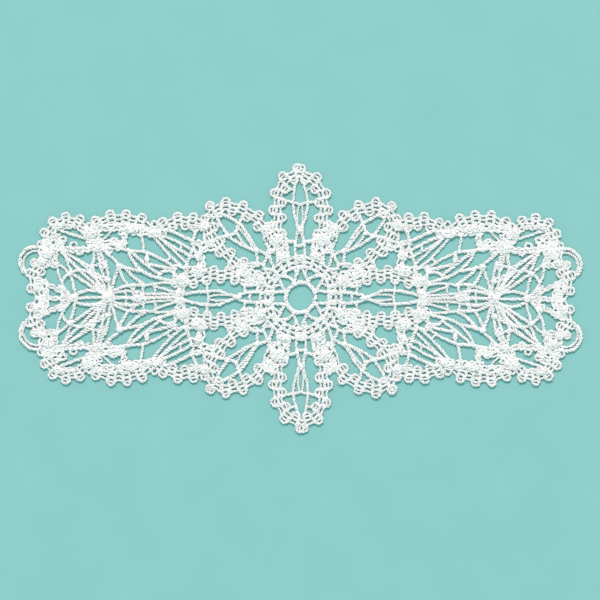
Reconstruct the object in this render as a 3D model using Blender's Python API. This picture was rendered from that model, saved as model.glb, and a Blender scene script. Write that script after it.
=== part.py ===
"""A jar cover of Battenberg lace: one flat, openwork piece of fused cords, braids and knots.

The lace is drawn as it is stitched. Cords are arcs from one knot to the next. Braids follow a spine, with
picot rings at an even pitch on alternate sides. Knots are raised ovals. One quarter is laid down from the
tables, mirrored to all four, made slightly uneven, and united. The gaps are what the stitching leaves open.

Sizes in the tables are millimetres from the centre of the lace, x along its length and y across it.
"""

import math
from collections import namedtuple

import bmesh
import bpy
from mathutils import Vector
from mathutils.geometry import delaunay_2d_cdt

MM = 0.001

# Thread and plate
SHEET_THICKNESS = 1.2
KNOT_RISE = 0.5
KNOT_FOOT = 0.86
FOOT_POINTS = 5
CORD = 1.25
TIE = 1.05
END_ROUND = 0.4
HEAVY = 1.8
DENSE = 3.4

# Braid: two rails with rungs between them, and rings that stand half outside the rails
BRAID_WIDTH = 3.9
RING_RADIUS = 1.7
RING_OFFSET = 1.45
RING_SIDES = 10

# Centre medallion
CENTRE_RING_RADIUS = 4.8
CENTRE_RING_WIDTH = 1.55
MEDALLION_RADIUS = 11.1
MEDALLION_WIDTH = 4.4

# Smallest opening that is cut, and how closely the cut edges follow the cords
SMALLEST_GAP_AREA = 1.6
SMALLEST_GAP_WIDTH = 0.42
EDGE_TOLERANCE = 0.23
ARC_STEP = 1.5
JOIN_RADIUS = 0.35

# Unevenness of the stitched piece
RIGHT_SAG = 0.8
LEFT_SAG = 0.25
LEFT_PULL = 0.45
LOWER_PETAL_STRETCH = 0.012
PETAL_LEAN = 0.3
WAVER = 0.14
WAVER_LENGTH = 23.0
WAVER_DRIFT = 0.065
LACE_HALF_LENGTH = 89.0
PETAL_HALF_WIDTH = 12.0
PETAL_REACH = 40.0

WHITE_THREAD = (0.93, 0.93, 0.91, 1.0)
THREAD_ROUGHNESS = 0.75

Cord = namedtuple("Cord", "x0 y0 x1 y1 bow width", defaults=(0.0, CORD))
Ray = namedtuple("Ray", "x0 y0 x1 y1 bow width ties")
Braid = namedtuple("Braid", "bends half_pitch first_ring first_side inner_rings", defaults=(True,))
Ring = namedtuple("Ring", "x y radius")
Knot = namedtuple("Knot", "x y half_length half_width turn")

# The spokes of the medallion
MEDALLION = [
    Cord(2.4, 4.4, 0.2, 9.9),
    Cord(2.2, 5.0, 7.2, 6.5, 0.9),
    Cord(4.9, 2.0, 7.2, 6.4),
    Cord(4.9, 2.0, 9.6, 1.5, 0.1),
    Cord(8.8, 0.0, 8.9, 1.8),
    Cord(4.9, 6.6, 5.2, 9.6),
    Cord(1.3, 7.2, 2.3, 9.6, 0.0, 1.0),
    Cord(8.5, 1.8, 7.8, 6.8, -0.3, 1.0),
    Cord(6.8, 4.3, 9.2, 3.0, 0.0, 1.1),
]

# The foot of the top petal and of the diagonal petal, round the medallion
PETAL_FEET = [
    Cord(1.5, 12.8, 1.5, 16.4, 0.0, 1.1),
    Cord(0.0, 16.3, 1.6, 16.4),
    Cord(1.5, 16.2, 0.6, 20.6),
    Cord(1.2, 17.2, 3.8, 17.8, 0.0, 1.4),
    Cord(3.6, 12.0, 4.4, 18.6, 0.0, DENSE - 2.0),
    Cord(5.2, 11.6, 5.8, 20.0, 0.0, DENSE),
    Cord(8.6, 14.4, 8.0, 20.0, 0.0, DENSE),
    Cord(8.4, 14.6, 10.4, 14.8, 0.0, HEAVY),
    Cord(8.8, 8.9, 12.0, 9.2, 0.0, 1.2),
    Cord(8.7, 9.0, 10.0, 13.2),
    Cord(7.3, 10.4, 7.4, 15.0, 0.0, 1.4),
    Cord(10.6, 7.2, 12.1, 10.4),
    Cord(12.1, 10.2, 10.7, 13.4),
    Cord(10.3, 12.9, 10.9, 17.2, 0.6),
    Cord(10.5, 13.0, 13.8, 14.8, 0.4),
    Cord(11.8, 10.6, 15.4, 10.7),
    Cord(13.8, 11.0, 14.2, 15.2),
    Cord(12.0, 6.3, 20.5, 8.6, 0.0, DENSE),
    Cord(13.6, 10.4, 19.5, 9.8, 0.0, HEAVY),
    Cord(8.4, 23.0, 11.6, 21.4, 0.0, DENSE),
]

# The cords inside the top petal
TOP_PETAL = [
    Cord(0.65, 20.0, 0.8, 22.8),
    Cord(0.8, 22.6, 2.4, 29.8, -0.3, 1.1),
    Cord(0.6, 22.6, 0.4, 29.4, -0.3, 0.7),
    Cord(0.0, 29.3, 2.6, 30.0, 0.0, 1.1),
    Cord(2.4, 29.9, 5.2, 30.5, 0.0, 1.1),
    Cord(2.4, 29.8, 0.7, 37.4, -0.25, 1.1),
    Cord(1.7, 33.8, 3.4, 34.4, 0.0, 0.9),
]

# The cords inside the diagonal petal
DIAGONAL_PETAL = [
    Cord(14.2, 15.0, 19.5, 23.4, 0.4),
    Cord(15.4, 15.0, 20.3, 20.4, -0.7, 0.9),
    Cord(15.2, 15.8, 20.3, 22.4, 0.35, 1.0),
    Cord(14.0, 14.6, 23.8, 19.8, -0.5),
    Cord(19.4, 22.9, 18.4, 26.2),
    Cord(19.2, 22.8, 26.6, 26.6, 0.5),
    Cord(21.1, 20.2, 19.6, 23.3, 0.3),
    Cord(20.2, 20.4, 23.4, 19.6, -0.2),
    Cord(23.0, 19.6, 26.6, 25.4, -0.3),
    Cord(22.9, 19.4, 27.0, 18.7),
]

# The cords inside the side petal
SIDE_PETAL = [
    Cord(12.6, 1.7, 19.6, 0.8, 0.3),
    Cord(16.2, 0.0, 16.0, 1.6, 0.0, 1.1),
    Cord(12.8, 4.4, 18.8, 4.5, 0.0, 2.2),
    Cord(13.7, 1.6, 13.8, 4.2, 0.0, 1.5),
    Cord(17.6, 1.4, 17.9, 4.2, 0.0, 1.1),
    Cord(19.4, 0.2, 25.6, 2.1, -0.3),
    Cord(25.4, 2.1, 31.2, 2.0, 0.1),
    Cord(31.0, 2.0, 38.0, 0.5, 0.3),
    Cord(21.0, 0.3, 28.9, 0.5, 0.55, 0.8),
    Cord(29.2, 0.0, 29.7, 2.3, 0.0, 1.0),
    Cord(29.7, 2.0, 29.9, 5.4, 0.0, 1.0),
    Cord(37.0, 1.2, 37.2, 3.4, 0.0, 1.2),
]

# The rims that bound the net: beside the diagonal petal and above the side petal
NET_RIMS = [
    Cord(31.7, 9.6, 32.8, 15.4, 0.2, 2.8),
    Cord(27.4, 16.6, 32.6, 15.8, 0.0, DENSE),
    Cord(32.4, 22.2, 34.0, 14.8, 1.0),
    Cord(31.6, 17.3, 34.9, 17.7, 0.0, HEAVY),
    Cord(36.8, 9.6, 34.6, 15.2),
    Cord(34.4, 9.5, 36.8, 9.9, 0.0, 1.2),
    Cord(36.6, 6.2, 39.8, 3.0, 0.0, DENSE + 0.6),
    Cord(36.4, 6.8, 36.6, 9.8, 0.0, HEAVY),
    Cord(49.9, 14.6, 51.0, 20.4, 0.1, 1.1),
    Cord(57.3, 10.4, 62.8, 15.3),
    Cord(60.2, 15.0, 63.2, 15.4, 0.0, 2.2),
    Cord(30.8, 17.6, 30.8, 21.0, 0.0, 0.9),
    Cord(33.4, 21.6, 35.0, 22.1, 0.0, 1.6),
]

# The cords of the net that rise from the heart beside the side petal, from the top down
NET_CORDS = [
    Cord(34.6, 18.0, 43.2, 21.4, 0.25),
    Cord(34.4, 14.8, 44.8, 19.5, 0.5, 1.15),
    Cord(34.4, 12.9, 45.2, 19.0, -0.4, 1.15),
    Cord(36.4, 10.9, 44.8, 18.6, 0.0, 1.0),
    Cord(37.2, 9.3, 46.8, 19.0, -0.55, 1.1),
    Cord(36.8, 9.5, 40.2, 10.1),
    Cord(39.6, 9.0, 50.2, 14.6, 0.5, 1.15),
    Cord(50.0, 14.6, 58.4, 15.9, -0.25),
    Cord(39.8, 8.8, 48.2, 10.6, -0.1),
    Cord(44.8, 7.1, 54.4, 15.0, -0.15),
    Cord(39.8, 7.2, 45.2, 6.4, 1.5),
    Cord(39.6, 4.9, 44.6, 6.1, -0.1),
    Cord(44.4, 6.0, 55.0, 15.4, -2.0),
    Cord(50.6, 8.5, 57.6, 10.2, -0.1),
    Cord(39.8, 4.4, 50.0, 3.9, 0.4, 1.1),
    Cord(49.8, 4.5, 55.6, 9.8, -0.5),
    Cord(39.2, 1.3, 46.8, 3.7, 0.0, 1.0),
    Cord(39.0, 0.9, 50.5, 1.4, -0.1, 1.05),
    Cord(38.0, 0.0, 62.0, 0.0, 0.0, 1.4),
]

# The cords of the net that run into the first node on the long axis
NET_FOOT = [
    Cord(49.6, 4.0, 60.4, 1.6, 1.1),
    Cord(50.0, 1.4, 60.6, 0.9, 1.1),
    Cord(57.6, 9.9, 54.6, 3.9, 0.4),
    Cord(57.6, 9.9, 60.5, 1.2, 0.15),
]

# The short ties of the net
NET_TIES = [
    Cord(38.3, 15.0, 38.2, 16.8, 0.0, TIE),
    Cord(41.6, 12.6, 42.8, 11.3, 0.0, TIE),
    Cord(40.3, 5.0, 40.2, 9.4, 0.0, 1.1),
    Cord(38.0, 6.4, 40.2, 6.8, 0.0, 1.2),
    Cord(48.6, 10.8, 49.0, 14.4, 0.0, 1.3),
    Cord(46.3, 1.9, 46.3, 4.2, 0.0, TIE),
    Cord(53.2, 2.6, 53.8, 4.2, 0.0, 1.6),
    Cord(52.4, 0.4, 52.8, 1.9, 0.0, 1.6),
    Cord(50.1, 2.0, 50.1, 4.4, 0.0, TIE),
    Cord(55.5, 0.4, 55.6, 2.6, 0.0, 0.9),
]

# The rays out of the first node on the long axis, from the top down
FIRST_STAR = [
    Ray(60.8, 0.6, 61.8, 11.6, 0.4, 1.2, (0.95,)),
    Ray(64.0, 3.4, 66.2, 10.2, 0.2, CORD, (0.85,)),
    Ray(61.8, 1.0, 75.4, 14.9, 1.7, 1.15, ()),
    Ray(62.2, 0.9, 75.4, 14.4, 0.05, 1.3, ()),
    Ray(62.2, 0.7, 72.9, 8.1, 0.0, CORD, ()),
    Ray(62.0, 0.8, 72.0, 0.6, 1.6, CORD, ()),
    Ray(61.0, 0.0, 72.0, 0.0, 0.0, 1.1, ()),
]

# The rays out of the second node, from the top round to the long axis
SECOND_STAR = [
    Ray(71.5, 0.6, 73.0, 7.8, 0.25, CORD, ()),
    Ray(72.3, 8.0, 75.0, 14.7, 0.0, 1.1, ()),
    Ray(72.8, 0.8, 76.9, 10.8, -1.0, 1.1, ()),
    Ray(72.6, 0.5, 83.0, 6.0, 0.0, 1.7, ()),
    Ray(72.0, 0.0, 83.0, 0.0, 0.0, 1.7, ()),
]

# The arches and rims of the end panel, and its corner loop of two cords
END_RIMS = [
    Cord(62.6, 9.4, 64.2, 15.4, 0.0, 2.2),
    Cord(60.6, 5.4, 66.6, 8.0, -0.2, HEAVY),
    Cord(75.6, 4.8, 66.4, 7.8, -2.4),
    Cord(66.1, 9.6, 65.4, 15.0, 0.3),
    Cord(73.2, 7.6, 77.4, 11.4, 0.4, 1.0),
    Cord(63.0, 2.8, 68.0, 8.6, 0.5, 1.2),
    Cord(61.5, 1.0, 63.2, 6.0, 0.15, 1.0),
    Cord(62.4, 6.4, 63.4, 9.8, 0.0, 1.1),
    Cord(74.8, 2.8, 76.4, 3.9, 0.0, 1.5),
    Cord(75.6, 0.3, 75.9, 2.6, 0.0, 1.1),
    Cord(76.4, 10.6, 83.4, 10.8, 0.0, 1.8),
    Cord(77.4, 10.8, 77.6, 16.4, 0.0, 2.0),
    Cord(80.4, 11.8, 80.6, 16.4, 0.0, DENSE + 1.2),
    Cord(67.4, 18.4, 77.6, 22.0, -0.15, 1.1),
    Cord(80.9, 0.0, 81.9, 5.4, 0.0, DENSE),
    Cord(82.0, 16.0, 87.4, 8.0, 3.6, 1.3),
    Cord(81.8, 14.7, 86.7, 8.2, 3.1, 0.9),
]

# Dense filling behind the border braids
FILLING = [
    Cord(44.6, 20.2, 50.6, 20.9, 0.0, DENSE - 0.6),
    Cord(50.2, 21.2, 57.6, 21.8, 0.2, DENSE + 0.4),
    Cord(57.0, 22.4, 65.6, 21.6, 0.3, DENSE - 0.8),
    Cord(63.6, 18.6, 68.4, 20.4, 0.0, DENSE),
    Cord(56.0, 16.8, 58.6, 16.6, 0.0, DENSE),
    Cord(58.0, 16.8, 67.4, 16.2, 0.3, DENSE - 0.2),
    Cord(63.0, 17.4, 67.8, 18.2, 0.0, HEAVY),
    Cord(67.0, 15.2, 76.8, 15.8, -0.3, 2.2),
    Cord(75.0, 16.8, 81.4, 17.2, 0.0, DENSE),
    Cord(76.4, 19.4, 78.4, 20.2, 0.0, 2.2),
    Cord(56.0, 17.0, 56.0, 22.0, -0.2, 2.0),
    Cord(60.0, 22.0, 63.6, 18.0, -0.5, 0.9),
    Cord(71.4, 22.5, 76.8, 22.0, 0.2, 1.6),
]

# Braids, each along a spine of a few bends, with its rings on alternate sides
BRAIDS = [
    Braid([(0.0, 39.4), (4.5, 37.1), (6.8, 33.2), (7.4, 28.4), (7.2, 24.0), (7.0, 19.0)], 2.55, 0.0, 1),
    Braid([(9.8, 18.4), (12.0, 22.8), (15.6, 26.2), (20.0, 28.1), (24.4, 28.7), (28.0, 27.2)], 2.65, 2.9, 1),
    Braid([(28.0, 27.2), (29.2, 23.6), (27.9, 19.2), (24.8, 14.8), (21.4, 11.4), (17.4, 9.0)], 2.65, 2.9, 1),
    Braid([(12.4, 5.4), (18.4, 6.5), (24.8, 7.3), (30.4, 6.9), (37.0, 5.0)], 2.33, 1.5, 1),
    Braid([(29.6, 23.0), (34.0, 24.0), (38.6, 24.3), (42.4, 23.0), (46.0, 20.4)], 2.3, 4.9, 1),
    Braid([(47.4, 20.9), (50.8, 23.8), (56.0, 25.1), (61.4, 24.7), (66.4, 21.9)], 2.3, 4.8, 1, False),
    Braid([(68.2, 20.8), (70.2, 23.2), (74.1, 24.3), (77.6, 23.3), (79.7, 20.4), (80.5, 16.6)],
          1.79, 3.9, 1, False),
    Braid([(82.2, 10.8), (83.5, 8.8), (84.4, 6.4), (83.8, 3.2), (82.4, 0.0)], 2.1, 1.9, -1),
]

# Rings that stand by themselves
RINGS = [
    Ring(28.9, 28.9, 1.75),
    Ring(46.5, 23.0, 1.5),
    Ring(67.0, 22.7, 1.4),
    Ring(59.3, 17.7, 1.6),
    Ring(69.8, 14.7, 1.5),
    Ring(71.9, 16.6, 1.5),
    Ring(75.3, 18.4, 1.5),
    Ring(83.9, 11.1, 1.6),
]

# Raised knots of satin stitch
KNOTS = [
    Knot(0.0, 12.4, 2.2, 1.3, 0),
    Knot(7.4, 18.2, 2.6, 2.2, 20),
    Knot(5.2, 12.8, 2.2, 1.3, -10),
    Knot(12.4, 5.2, 2.2, 1.5, 60),
    Knot(10.4, 1.6, 1.6, 1.1, 0),
    Knot(13.9, 14.9, 1.2, 0.9, 45),
    Knot(20.0, 0.0, 1.5, 0.9, 0),
    Knot(0.0, 21.4, 1.4, 0.9, 90),
    Knot(32.6, 8.5, 3.3, 2.1, -12),
    Knot(32.8, 13.2, 1.8, 1.5, 60),
    Knot(37.6, 5.2, 2.6, 2.0, 30),
    Knot(38.6, 1.2, 2.1, 1.7, 0),
    Knot(30.8, 22.6, 2.2, 1.8, 0),
    Knot(46.6, 20.2, 2.8, 1.7, 0),
    Knot(48.9, 12.2, 0.9, 1.5, 0),
    Knot(51.2, 0.0, 3.0, 1.5, 0),
    Knot(57.4, 10.0, 1.4, 1.1, 0),
    Knot(61.0, 0.0, 2.3, 2.0, 0),
    Knot(61.2, 5.6, 1.1, 0.9, 0),
    Knot(72.9, 7.8, 1.2, 0.9, -30),
    Knot(54.0, 21.8, 3.0, 1.6, 5),
    Knot(67.0, 20.5, 2.8, 2.2, 0),
    Knot(64.6, 15.6, 2.0, 1.6, 0),
    Knot(72.0, 0.0, 1.8, 1.3, 0),
    Knot(76.2, 23.0, 1.9, 1.3, -20),
    Knot(79.8, 14.2, 2.2, 1.9, 0),
    Knot(81.6, 11.6, 1.6, 1.5, 0),
    Knot(83.6, 3.4, 1.6, 1.3, 90),
]


def place_on(cord, share):
    """The point at a share of the way along a cord: a straight run, or a round arc bowed to its left."""
    start, end = Vector((cord.x0, cord.y0)), Vector((cord.x1, cord.y1))
    if not cord.bow:
        return start.lerp(end, share)
    chord = end - start
    left = Vector((-chord.y, chord.x)).normalized()
    radius = (chord.length ** 2 / 4 + cord.bow ** 2) / (2 * cord.bow)
    angle = math.asin(chord.length / 2 / radius) * (2 * share - 1)
    centre = (start + end) / 2 + left * (cord.bow - radius)
    return centre + (chord.normalized() * math.sin(angle) + left * math.cos(angle)) * radius


def cord_path(cord):
    """Points along a cord, about one arc step apart where it is bowed."""
    length = math.hypot(cord.x1 - cord.x0, cord.y1 - cord.y0)
    steps = max(2, round(length / ARC_STEP)) if cord.bow else 1
    return [place_on(cord, i / steps) for i in range(steps + 1)]


def tied_cords(rays):
    """The rays of a fan, and the ties that join each to the next at the same share of their length."""
    cords = []
    for i, ray in enumerate(rays):
        cords.append(ray)
        for share in ray.ties:
            start, end = place_on(ray, share), place_on(rays[i + 1], share)
            cords.append(Cord(start.x, start.y, end.x, end.y, 0.0, TIE))
    return cords


def smooth_path(bends):
    """A smooth curve through a braid's bends, as points about one arc step apart."""
    knots = [Vector(b) for b in bends]
    knots = [2 * knots[0] - knots[1]] + knots + [2 * knots[-1] - knots[-2]]
    points = []
    for a, b, c, d in zip(knots, knots[1:], knots[2:], knots[3:]):
        count = max(2, round((c - b).length / ARC_STEP))
        for i in range(count):
            t = i / count
            cubic = (3 * b - a - 3 * c + d) * t ** 3
            square = (2 * a - 5 * b + 4 * c - d) * t ** 2
            points.append((2 * b + (c - a) * t + square + cubic) / 2)
    return points + [knots[-2]]


def normals(points):
    """The direction to the left of a path at each of its points."""
    result = []
    for i in range(len(points)):
        run = points[min(i + 1, len(points) - 1)] - points[max(i - 1, 0)]
        result.append(Vector((-run.y, run.x)).normalized())
    return result


def band(points, width):
    """The outline of a strand of even width with blunt round ends, counter-clockwise."""
    sides = normals(points)
    left = [p + n * width / 2 for p, n in zip(points, sides)]
    right = [p - n * width / 2 for p, n in zip(points, sides)]
    tips = []
    for point, side, turn in ((points[-1], sides[-1], 1), (points[0], sides[0], -1)):
        onward = Vector((side.y, -side.x)) * turn * width * END_ROUND
        tips.append([point + onward - side * turn * width / 4, point + onward + side * turn * width / 4])
    return right + tips[0] + left[::-1] + tips[1]


def oval(x, y, half_length, half_width, turn=0.0, sides=RING_SIDES):
    """The outline of an oval, counter-clockwise, turned by an angle in degrees."""
    lean = math.radians(turn)
    points = []
    for i in range(sides):
        angle = 2 * math.pi * i / sides
        a, b = half_length * math.cos(angle), half_width * math.sin(angle)
        points.append(Vector((x + a * math.cos(lean) - b * math.sin(lean),
                              y + a * math.sin(lean) + b * math.cos(lean))))
    return points


def braid_shapes(braid):
    """A braid's solid band and its rings, which take turns on its two sides."""
    path = smooth_path(braid.bends)
    sides = normals(path)
    shapes = [band(path, BRAID_WIDTH)]
    side, due, walked = braid.first_side, braid.first_ring, 0.0
    for i in range(len(path) - 1):
        step = (path[i + 1] - path[i]).length
        while due <= walked + step:
            spot = path[i].lerp(path[i + 1], (due - walked) / step) + sides[i] * RING_OFFSET * side
            if side > 0 or braid.inner_rings:
                shapes.append(oval(spot.x, spot.y, RING_RADIUS, RING_RADIUS))
            side, due = -side, due + braid.half_pitch
        walked += step
    return shapes


def circle_band(radius, width):
    """One quarter of a round band about the centre."""
    steps = round(math.pi / 2 * radius / ARC_STEP)
    angles = [math.pi / 2 * i / steps for i in range(steps + 1)]
    inner, outer = radius - width / 2, radius + width / 2
    near = [Vector((inner * math.cos(a), inner * math.sin(a))) for a in angles]
    far = [Vector((outer * math.cos(a), outer * math.sin(a))) for a in angles]
    return far + near[::-1]


def quarter_shapes():
    """Every outline of the upper right quarter."""
    shapes = [
        circle_band(CENTRE_RING_RADIUS, CENTRE_RING_WIDTH),
        circle_band(MEDALLION_RADIUS, MEDALLION_WIDTH),
    ]
    cords = MEDALLION + PETAL_FEET + TOP_PETAL + DIAGONAL_PETAL + SIDE_PETAL
    cords += NET_RIMS + NET_CORDS + NET_FOOT + NET_TIES + END_RIMS + FILLING
    cords += tied_cords(FIRST_STAR) + tied_cords(SECOND_STAR)
    for cord in cords:
        shapes.append(band(cord_path(cord), cord.width))
    for braid in BRAIDS:
        shapes += braid_shapes(braid)
    for ring in RINGS:
        shapes.append(oval(ring.x, ring.y, ring.radius, ring.radius))
    for knot in KNOTS:
        shapes.append(oval(*knot))
    return shapes


def uneven(point):
    """Where a point of the even pattern lies in the stitched piece."""
    x, y = point
    reach = abs(x) / LACE_HALF_LENGTH
    petal = max(0.0, 1 - abs(x) / PETAL_HALF_WIDTH)
    stretch = 1 + (LOWER_PETAL_STRETCH * petal if y < 0 else 0.0)
    lean = -PETAL_LEAN * petal * y / PETAL_REACH
    pull = LEFT_PULL * math.sin(math.pi * reach) if x < 0 else 0.0
    sag = (RIGHT_SAG if x > 0 else LEFT_SAG) * reach ** 2
    wave_x = WAVER * math.sin(2 * math.pi * y / WAVER_LENGTH + WAVER_DRIFT * x)
    wave_y = WAVER * math.sin(2 * math.pi * x / WAVER_LENGTH + WAVER_DRIFT * y)
    return Vector((x + pull + lean + wave_x, y * stretch - sag + wave_y))


def mirrored(outline, flip_x, flip_y):
    """An outline in another quarter, still counter-clockwise."""
    points = [Vector((p.x * flip_x, p.y * flip_y)) for p in outline]
    return points if flip_x * flip_y > 0 else points[::-1]


def all_shapes():
    """Every outline of the whole lace, with its unevenness."""
    shapes = []
    for outline in quarter_shapes():
        for flip_x in (1, -1):
            for flip_y in (1, -1):
                shapes.append([uneven(p) for p in mirrored(outline, flip_x, flip_y)])
    return shapes


def triangles_inside(shapes):
    """The points and triangles that the outlines cover together."""
    points, faces = [], []
    for outline in shapes:
        faces.append(list(range(len(points), len(points) + len(outline))))
        points += outline
    points, _, triangles, _, _, sources = delaunay_2d_cdt(points, [], faces, 1, 1e-4)
    return points, [t for t, s in zip(triangles, sources) if s]


def border_loops(points, triangles):
    """The closed loops round a set of triangles, and the points where two loops touch."""
    directed = {(t[i], t[(i + 1) % 3]) for t in triangles for i in range(3)}
    following = {}
    touching = set()
    for a, b in sorted(directed):
        if (b, a) not in directed:
            if a in following:
                touching.add(a)
            following[a] = b
    loops, seen = [], set()
    for start in sorted(following):
        loop, at = [], start
        while at not in seen:
            seen.add(at)
            loop.append(points[at])
            at = following[at]
        if loop:
            loops.append(loop)
    return loops, [points[i] for i in sorted(touching)]


def joined_loops(shapes):
    """The loops of the united outlines. Where two strands only touch, a stitch joins them."""
    for _ in range(4):
        points, triangles = triangles_inside(shapes)
        loops, touching = border_loops(points, triangles)
        if not touching:
            break
        shapes = shapes + [oval(p.x, p.y, JOIN_RADIUS, JOIN_RADIUS, sides=8) for p in touching]
    return loops


def signed_area(loop):
    """A loop's area: above zero round material, below zero round a gap."""
    return sum(a.x * b.y - b.x * a.y for a, b in zip(loop, loop[1:] + loop[:1])) / 2


def length_round(loop):
    """The length of a closed loop."""
    return sum((b - a).length for a, b in zip(loop, loop[1:] + loop[:1]))


def thinned(run, tolerance):
    """The points of an open run that keep it within the tolerance."""
    if len(run) < 3:
        return run
    start, end = run[0], run[-1]
    chord = end - start
    if chord.length < 1e-6:
        away = [(p - start).length for p in run]
    else:
        away = [abs(chord.x * (p - start).y - chord.y * (p - start).x) / chord.length for p in run]
    far = max(range(len(run)), key=away.__getitem__)
    if away[far] <= tolerance:
        return [start, end]
    return thinned(run[: far + 1], tolerance)[:-1] + thinned(run[far:], tolerance)


def simpler(loop, tolerance):
    """A loop with fewer points, cut in two at its first point and the point furthest from it."""
    half = max(range(len(loop)), key=lambda i: (loop[i] - loop[0]).length)
    first = thinned(loop[: half + 1], tolerance)
    second = thinned(loop[half:] + loop[:1], tolerance)
    return first[:-1] + second[:-1]


def fit_to_cut(loop):
    """Whether a gap is wide enough to be cut."""
    area = -signed_area(loop)
    return area > SMALLEST_GAP_AREA and 2 * area / length_round(loop) > SMALLEST_GAP_WIDTH


def plate_mesh(loops, extra_points):
    """The points and triangles between the outer loop and the gaps, and the source of each point."""
    points, faces = [], []
    for loop in loops:
        places = list(range(len(points), len(points) + len(loop)))
        faces.append(places if signed_area(loop) > 0 else places[::-1])
        points += loop
    points += extra_points
    points, _, triangles, origins, _, sources = delaunay_2d_cdt(points, [], faces, 1, 1e-5)
    return points, [t for t, s in zip(triangles, sources) if s == [0]], origins


def passes(loop, point):
    """Whether one of a loop's edges runs through a point."""
    for a, b in zip(loop, loop[1:] + loop[:1]):
        if (a - point).length + (b - point).length - (b - a).length < 1e-4:
            return True
    return False


def lace_loops():
    """The outer edge and the gaps to be cut. Loops that would cross when thinned keep more points."""
    united = joined_loops(all_shapes())
    outer = max(united, key=signed_area)
    full = [outer] + [loop for loop in united if fit_to_cut(loop)]
    loops = [simpler(loop, EDGE_TOLERANCE) for loop in full]
    for tolerance in (EDGE_TOLERANCE / 2, EDGE_TOLERANCE / 4, EDGE_TOLERANCE / 16):
        points, _, origins = plate_mesh(loops, [])
        crossings = [p for p, origin in zip(points, origins) if not origin]
        if not crossings:
            break
        for i, loop in enumerate(loops):
            if any(passes(loop, p) for p in crossings):
                loops[i] = simpler(full[i], tolerance)
    return loops


def knot_points():
    """The peak of each raised knot and the points round its foot, with their heights over the sheet."""
    raised = []
    for knot in KNOTS:
        for flip_x in (1, -1) if knot.x else (1,):
            for flip_y in (1, -1) if knot.y else (1,):
                x, y = knot.x * flip_x, knot.y * flip_y
                half_length, half_width = knot.half_length * KNOT_FOOT, knot.half_width * KNOT_FOOT
                foot = oval(x, y, half_length, half_width, knot.turn * flip_x * flip_y, FOOT_POINTS)
                raised.append((uneven((x, y)), KNOT_RISE))
                raised += [(uneven(p), 0.0) for p in foot]
    return raised


def middle_of(loop):
    """The middle of the box round a loop."""
    across, up = [p.x for p in loop], [p.y for p in loop]
    return Vector((min(across) + max(across), min(up) + max(up))) / 2


def build_lace(material):
    """The lace as one closed solid, flat below and raised at its knots above, over the middle of its box."""
    loops, raised = lace_loops(), knot_points()
    middle = middle_of(loops[0])
    form = bmesh.new()

    def vertex(point, height):
        """A mesh vertex at a height over the underside."""
        return form.verts.new(((point.x - middle.x) * MM, (point.y - middle.y) * MM, height * MM))

    above, below = [], []
    for loop in loops:
        first = len(above)
        above += [vertex(p, SHEET_THICKNESS) for p in loop]
        below += [vertex(p, 0.0) for p in loop]
        for i in range(len(loop)):
            a, b = first + i, first + (i + 1) % len(loop)
            form.faces.new([below[a], below[b], above[b], above[a]])
    above += [vertex(p, SHEET_THICKNESS + rise) for p, rise in raised]
    for level, extra_points, turn in ((above, [p for p, _ in raised], 1), (below, [], -1)):
        _, triangles, origins = plate_mesh(loops, extra_points)
        for triangle in triangles:
            form.faces.new([level[min(origins[i])] for i in triangle[::turn]])
    unused = [v for v in form.verts if not v.link_faces]
    bmesh.ops.delete(form, geom=unused, context="VERTS")
    mesh = bpy.data.meshes.new("lace")
    form.to_mesh(mesh)
    form.free()
    mesh.materials.append(material)
    lace = bpy.data.objects.new("lace", mesh)
    bpy.context.scene.collection.objects.link(lace)


def thread_material():
    """Bright white cotton thread."""
    material = bpy.data.materials.new("white_thread")
    material.use_nodes = True
    shader = material.node_tree.nodes["Principled BSDF"]
    shader.inputs["Base Color"].default_value = WHITE_THREAD
    shader.inputs["Roughness"].default_value = THREAD_ROUGHNESS
    shader.inputs["Metallic"].default_value = 0.0
    return material


def main():
    """Clears the scene and builds the lace."""
    for item in list(bpy.data.objects):
        bpy.data.objects.remove(item, do_unlink=True)
    build_lace(thread_material())


main()
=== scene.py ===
"""Dresses the flat lace jar cover: twisted cords, braids, rings and satin knots on a thin ground of stitches.

The tables are the ones that the solid is built from, but for the small inner rings, so each strand lies where
the solid has it. Sizes are millimetres from the centre of the pattern, x along its length and y across it.
Those of the flat lace, the floor, the light, the camera and the materials are metres.
"""
import math
from collections import namedtuple

import bpy
import numpy as np
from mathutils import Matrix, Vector
from mathutils.geometry import delaunay_2d_cdt


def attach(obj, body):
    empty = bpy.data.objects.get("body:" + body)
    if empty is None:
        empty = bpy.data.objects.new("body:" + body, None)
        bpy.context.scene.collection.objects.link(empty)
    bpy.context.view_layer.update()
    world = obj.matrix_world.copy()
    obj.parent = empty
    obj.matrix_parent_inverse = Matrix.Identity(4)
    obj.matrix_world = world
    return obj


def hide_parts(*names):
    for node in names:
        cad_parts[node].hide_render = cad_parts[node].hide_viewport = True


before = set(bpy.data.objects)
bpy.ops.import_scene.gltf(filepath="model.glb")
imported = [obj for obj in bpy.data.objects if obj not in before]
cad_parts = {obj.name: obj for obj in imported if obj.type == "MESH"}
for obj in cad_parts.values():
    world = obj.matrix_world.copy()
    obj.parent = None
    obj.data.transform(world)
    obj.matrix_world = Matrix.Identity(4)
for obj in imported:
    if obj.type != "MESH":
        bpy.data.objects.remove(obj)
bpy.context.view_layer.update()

MM = 0.001
SEED = 40

# A path this near to an axis lies on it, and points of the ground this near to each other are one
ON_AXIS = 1e-6
SAME_POINT = 1e-4

# Where the centre of the pattern lies in the frame, above the middle of the box
PATTERN_UP = 0.23

# Widths of the strands
CORD = 1.25
TIE = 1.05
HEAVY = 1.8
DENSE = 3.4

# A cord is two plies twisted round each other. These are shares of its width
PLY_RADIUS = 0.245
PLY_SWING = 0.275
PLY_LIFT = 0.2

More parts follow.
